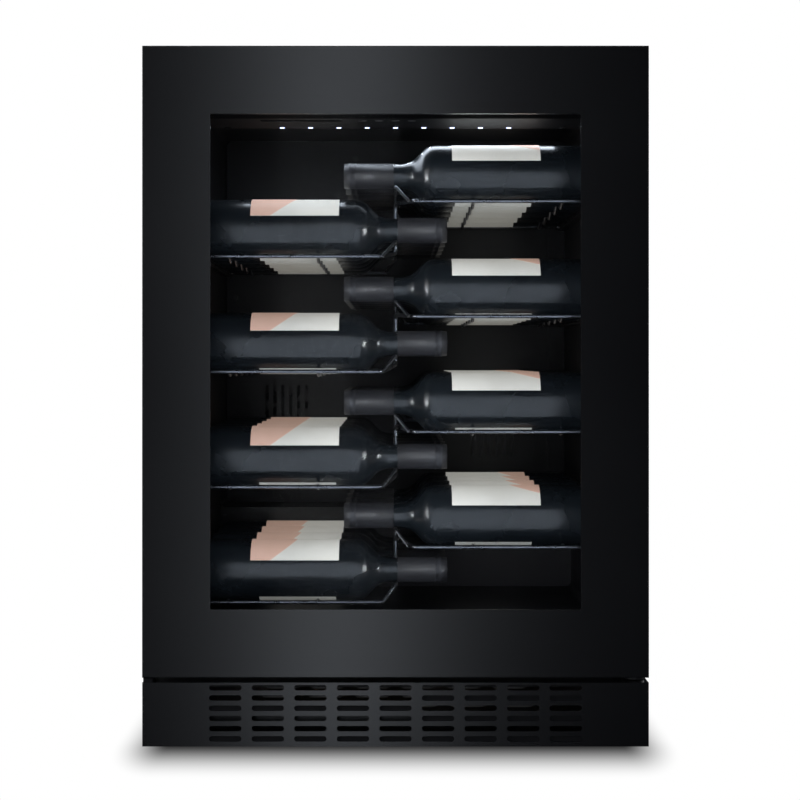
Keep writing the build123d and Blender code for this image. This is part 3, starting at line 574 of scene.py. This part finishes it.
def coral_points(start, stop, reach_low, reach_high):
    """The label's tinted end: its reach grows in line with the height, the sine of the angle."""
    reach = np.linspace(0.0, 1.0, INK_ROWS)[:, None]
    angle = np.radians(np.linspace(start, stop, INK_COLUMNS))[None, :]
    lowest = math.sin(math.radians(start))
    climb = (np.sin(angle) - lowest) / (1.0 - lowest)
    points = np.empty((INK_ROWS, INK_COLUMNS, 3))
    points[..., 0] = LABEL_X[0] + reach * (reach_low + (reach_high - reach_low) * climb)
    points[..., 1] = -(BODY_RADIUS + INK_LIFT) * np.cos(angle)
    points[..., 2] = (BODY_RADIUS + INK_LIFT) * np.sin(angle)
    return points


print("front label:", round(LABEL_X[1] - LABEL_X[0], 3), "m long")

# %% [markdown]
# Every bottle shares the same few meshes. The right-hand bottles point the other way, so theirs are
# mirrored copies, and a mirror turns faces inside out, so the copies are flipped back. The tint of
# the right-hand labels starts higher up and takes less of the paper.

# %% A bottle's meshes, made once
def bottle_parts():
    """The separate meshes of one bottle, whose neck points to +X, as stage objects' data."""
    made = [
        surface("bottle_body", turned(*bottle_profile()), DARK_GLASS),
        surface("bottle_capsule", turned(*capsule_profile()), CAPSULE),
        surface("bottle_label", label_points(LABEL_X, 24.0, 150.0), LABEL),
        surface("bottle_back_label", label_points(BACK_LABEL_X, -150.0, -54.0), SHADED_BACK_LABEL),
        surface("bottle_label_ink", coral_points(24.0, 90.0, 0.024, 0.056), LABEL_CORAL),
        surface("bottle_label_high_ink", coral_points(52.0, 90.0, 0.002, 0.036), LABEL_CORAL),
    ]
    meshes = [part.data for part in made]
    for part in made:
        bpy.data.objects.remove(part)
    return meshes


def mirrored(mesh):
    """The same mesh with its neck to -X, and its faces turned back outwards."""
    copy = mesh.copy()
    points = np.empty(len(copy.vertices) * 3)
    copy.vertices.foreach_get("co", points)
    points.reshape(-1, 3)[:, 0] *= -1.0
    copy.vertices.foreach_set("co", points)
    copy.flip_normals()
    return copy


*plain_meshes, left_ink, right_ink = bottle_parts()
LEFT_MESHES = plain_meshes + [left_ink]
RIGHT_MESHES = [mirrored(mesh) for mesh in plain_meshes + [right_ink]]
print("bottle meshes:", [mesh.name for mesh in LEFT_MESHES])

# %% [markdown]
# Each rack has a low half on the left and a high half on the right, a step apart. A bottle's axis
# lies a little above the rail, and the bottles lie one behind another at an even pitch. The racks
# and bottles also go into a collection of their own, which some of the lights will be limited to.

# %% Fill the racks
RAIL_RADIUS = 0.0025
LOW_RAIL_DROP = 0.0070
STEP = 0.067
AXIS_OVER_RAIL = 0.0345
PITCH = 0.080
FIRST_BEHIND_RAIL = 0.0455
contents = bpy.data.collections.new("lit_contents")


def put_bottle(meshes, place, body, number):
    """Stage objects that share the bottle's meshes, at a place, moving with a body."""
    for mesh in meshes:
        prop = bpy.data.objects.new(f"prop_{number}_{mesh.name}", mesh)
        prop.location = place
        bpy.context.scene.collection.objects.link(prop)
        prop.parent = frame["bodies"][body]
        contents.objects.link(prop)
        prop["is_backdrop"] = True


bottle_count = 0
for rack in RACKS:
    contents.objects.link(nodes[rack])
    rack_low, rack_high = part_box(rack)
    low_rail = rack_low[2] + LOW_RAIL_DROP
    first = rack_low[1] + FIRST_BEHIND_RAIL
    deep = int(round((rack_high[1] - RAIL_RADIUS - first) / PITCH))
    for index in range(deep):
        y = first + PITCH * index
        for meshes, rise in ((LEFT_MESHES, 0.0), (RIGHT_MESHES, STEP)):
            place = (0.0, y, low_rail + rise + AXIS_OVER_RAIL)
            put_bottle(meshes, place, f"{rack}_slide", bottle_count)
            bottle_count += 1
print("bottles on the racks:", bottle_count)

# %% [markdown]
# ## The lamp
# Nine cool white diodes light the cavity from above. Each is a tiny disc just under its lens that
# shines down only, so the housing round it stays dark. A soft strip adds what the lenses and the
# housing scatter.

# %% The cavity's light
COOL = (0.78, 0.88, 1.0)
DIODES = 9
DIODE_SIZE = 0.006
DIODE_POWER = 0.006
DIODE_DROP = 0.002
FLANGE_RADIUS = 0.0042
STRIP_SIZE = (0.40, 0.03)
STRIP_POWER = 0.30
STRIP_FORWARD = 0.03
STRIP_DROP = 0.003


def lamp(name, kind, place, power, colour, **settings):
    """A light of one kind at a place; the other settings are written to its data."""
    data = bpy.data.lights.new(name, kind)
    data.energy = power
    data.color = colour
    for label, value in settings.items():
        setattr(data, label, value)
    made = bpy.data.objects.new(name, data)
    made.location = place
    bpy.context.scene.collection.objects.link(made)
    return made


lens_y = (lens_low[1] + lens_high[1]) / 2
lens_xs = np.linspace(lens_low[0] + FLANGE_RADIUS, lens_high[0] - FLANGE_RADIUS, DIODES)
for index, x in enumerate(lens_xs):
    diode = lamp(f"diode_{index + 1}", "AREA", (x, lens_y, lens_low[2] - DIODE_DROP),
                 DIODE_POWER, COOL, shape="DISK", size=DIODE_SIZE)
    diode.visible_camera = False
strip = lamp("lamp_strip", "AREA", (0.0, lens_y - STRIP_FORWARD, lens_low[2] - STRIP_DROP),
             STRIP_POWER, COOL, shape="RECTANGLE", size=STRIP_SIZE[0], size_y=STRIP_SIZE[1])
strip.visible_camera = False
print("diodes at x =", np.round(lens_xs, 3))

# %% [markdown]
# ## Studio, floor and camera
# A black object shows only what it reflects. A tall narrow strip behind the camera, a little to the
# left, draws the upright gradient on both rails of the door. Three lights reach only the bottles and
# racks, through light linking, so the panes and the door stay black. A fourth reaches only the
# liner, and stands for the light that the paper labels scatter on to the step at the back of the
# cavity. Larger lights round the sides and the back shape the cabinet from every other angle.

# %% Studio lights
def softbox(name, place, target, size, power, colour=(1.0, 1.0, 1.0)):
    """A rectangular area light at a place, turned to face a target."""
    made = lamp(name, "AREA", place, power, colour, shape="RECTANGLE", size=size[0], size_y=size[1])
    aim = Vector(target) - Vector(place)
    made.rotation_euler = aim.to_track_quat("-Z", "Y").to_euler()
    return made


MIDDLE = (0.0, 0.0, 0.42)
softbox("tall_front_strip", (-0.14, -2.45, 0.50), (-0.14, 0.0, 0.50), (0.30, 2.2), 5.5,
        (0.86, 0.92, 1.0))
PALE_BLUE = (0.9, 0.95, 1.0)
CAVITY = (0.0, -0.2, 0.45)
CONTENTS_LIGHTS = [
    softbox("contents_front", (0.0, -1.4, -0.30), (0.0, 0.0, -0.30), (1.7, 2.4), 21.0,
            (0.76, 0.86, 1.0)),
    softbox("contents_left", (-1.6, -1.2, 0.45), CAVITY, (0.5, 0.6), 20.0, PALE_BLUE),
    softbox("contents_right", (1.6, -1.2, 0.45), CAVITY, (0.5, 0.6), 20.0, PALE_BLUE),
]
for made in CONTENTS_LIGHTS:
    made.light_linking.receiver_collection = contents

hump_light = softbox(
    "hump_scatter", (0.11, -0.22, 0.17), (0.11, 0.11, 0.17), (0.42, 0.14), 0.07, (0.88, 0.90, 1.0))
liner_only = bpy.data.collections.new("lit_liner")
liner_only.objects.link(nodes["inner_liner"])
hump_light.light_linking.receiver_collection = liner_only
hump_light.visible_camera = False

softbox("left_side", (-2.4, 0.1, 1.3), MIDDLE, (0.8, 1.6), 22.0)
softbox("right_side", (2.4, 0.2, 1.2), MIDDLE, (0.8, 1.6), 18.0)
softbox("front_left_fill", (-2.4, -1.7, 1.0), MIDDLE, (0.8, 1.7), 15.0)
softbox("back_right_fill", (2.3, 2.1, 1.2), MIDDLE, (1.0, 1.7), 24.0)
softbox("back_left_fill", (-2.3, 2.1, 1.2), MIDDLE, (1.0, 1.7), 20.0)
softbox("back_high", (-0.8, 2.5, 1.6), MIDDLE, (1.6, 0.9), 36.0)
softbox("top", (0.0, 0.3, 2.6), (0.0, 0.3, 0.8), (1.4, 1.0), 20.0)
lights = [thing for thing in bpy.context.scene.objects if thing.type == "LIGHT"]
print("lights in the scene:", len(lights))

# %% [markdown]
# The surroundings are white to the camera and nearly black to everything else. With a white world
# the black paint would turn grey, since it would mirror white from every side.

# %% The surroundings
SEEN_WHITE = (1.0, 1.0, 1.0, 1.0)
LIT_DARK = (0.012, 0.012, 0.014, 1.0)
world = bpy.data.worlds.new("pale_studio")
bpy.context.scene.world = world
world.use_nodes = True
sky = world.node_tree
background = sky.nodes["Background"]
seen = sky.nodes.new("ShaderNodeLightPath")
shade = sky.nodes.new("ShaderNodeMix")
shade.data_type = "RGBA"
shade.inputs["A"].default_value = LIT_DARK
shade.inputs["B"].default_value = SEEN_WHITE
sky.links.new(seen.outputs["Is Camera Ray"], shade.inputs["Factor"])
sky.links.new(shade.outputs["Result"], background.inputs["Color"])
bpy.context.scene.view_settings.view_transform = "Standard"
print("the world is white only to the camera")

# %% [markdown]
# The floor is white paper that only the camera sees, so the strip light can run on below it. It
# gives off its own white, and no shadow can fall on it. Instead its material works out the distance
# to the cabinet's outline and darkens towards it, which gives the contact shadow.

# %% The floor
FLOOR_HALF = 4.0
FLOOR_STEPS = 5
SIDE_SQUEEZE = 2.6
span = np.linspace(-FLOOR_HALF, FLOOR_HALF, FLOOR_STEPS)
floor_points = np.zeros((FLOOR_STEPS, FLOOR_STEPS, 3))
floor_points[..., 0] = span[None, :]
floor_points[..., 1] = span[:, None]


def contact_shade(inset, reach, darkest):
    """White paper that darkens near the cabinet's foot, less far at the sides than in front."""
    made = bpy.data.materials.new("floor_paper")
    made.use_nodes = True
    tree = made.node_tree
    tree.nodes.clear()
    where = tree.nodes.new("ShaderNodeTexCoord")
    steps = []
    for operation in ("ABSOLUTE", "SUBTRACT", "MAXIMUM", "MULTIPLY", "LENGTH"):
        step = tree.nodes.new("ShaderNodeVectorMath")
        step.operation = operation
        steps.append(step)
    steps[1].inputs[1].default_value = (cad_high[0] - inset, cad_high[1] - inset, 0.0)
    steps[2].inputs[1].default_value = (0.0, 0.0, 0.0)
    steps[3].inputs[1].default_value = (SIDE_SQUEEZE, 1.0, 1.0)
    fall = tree.nodes.new("ShaderNodeMapRange")
    fall.interpolation_type = "SMOOTHSTEP"
    fall.inputs["From Max"].default_value = reach
    fall.inputs["To Min"].default_value = darkest
    glow = tree.nodes.new("ShaderNodeEmission")
    out = tree.nodes.new("ShaderNodeOutputMaterial")
    tree.links.new(where.outputs["Object"], steps[0].inputs[0])
    for before, after in zip(steps[:-1], steps[1:]):
        tree.links.new(before.outputs["Vector"], after.inputs[0])
    tree.links.new(steps[-1].outputs["Value"], fall.inputs["Value"])
    tree.links.new(fall.outputs["Result"], glow.inputs["Color"])
    tree.links.new(glow.outputs["Emission"], out.inputs["Surface"])
    return made


paper = contact_shade(inset=0.030, reach=0.175, darkest=0.015)
floor = surface("studio_floor", floor_points, paper)
floor.visible_diffuse = False
floor.visible_glossy = False
floor.visible_transmission = False
floor.visible_shadow = False
floor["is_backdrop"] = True
print("floor:", 2 * FLOOR_HALF, "m square")

# %% [markdown]
# The camera stands two metres in front of the door, a little above the middle of the cabinet, and
# looks straight ahead. It is level, and its lens is shifted a little to frame the cabinet, because a
# tilted camera would make the upright edges lean.

# %% The camera
CAMERA_DISTANCE = 2.0
CAMERA_HEIGHT = 0.457
SENSOR = 36.0
LENS_MM = 76.7
SHIFT_X = 0.0056
SHIFT_Y = -0.05
view = bpy.data.cameras.new("front_camera")
view.sensor_width = SENSOR
view.lens = LENS_MM
view.shift_x = SHIFT_X
view.shift_y = SHIFT_Y
camera = bpy.data.objects.new("front_camera", view)
camera.location = (0.0, cad_low[1] - CAMERA_DISTANCE, CAMERA_HEIGHT)
camera.rotation_euler = (math.radians(90.0), 0.0, 0.0)
bpy.context.scene.collection.objects.link(camera)
bpy.context.scene.camera = camera
print("camera at", tuple(round(value, 3) for value in camera.location))
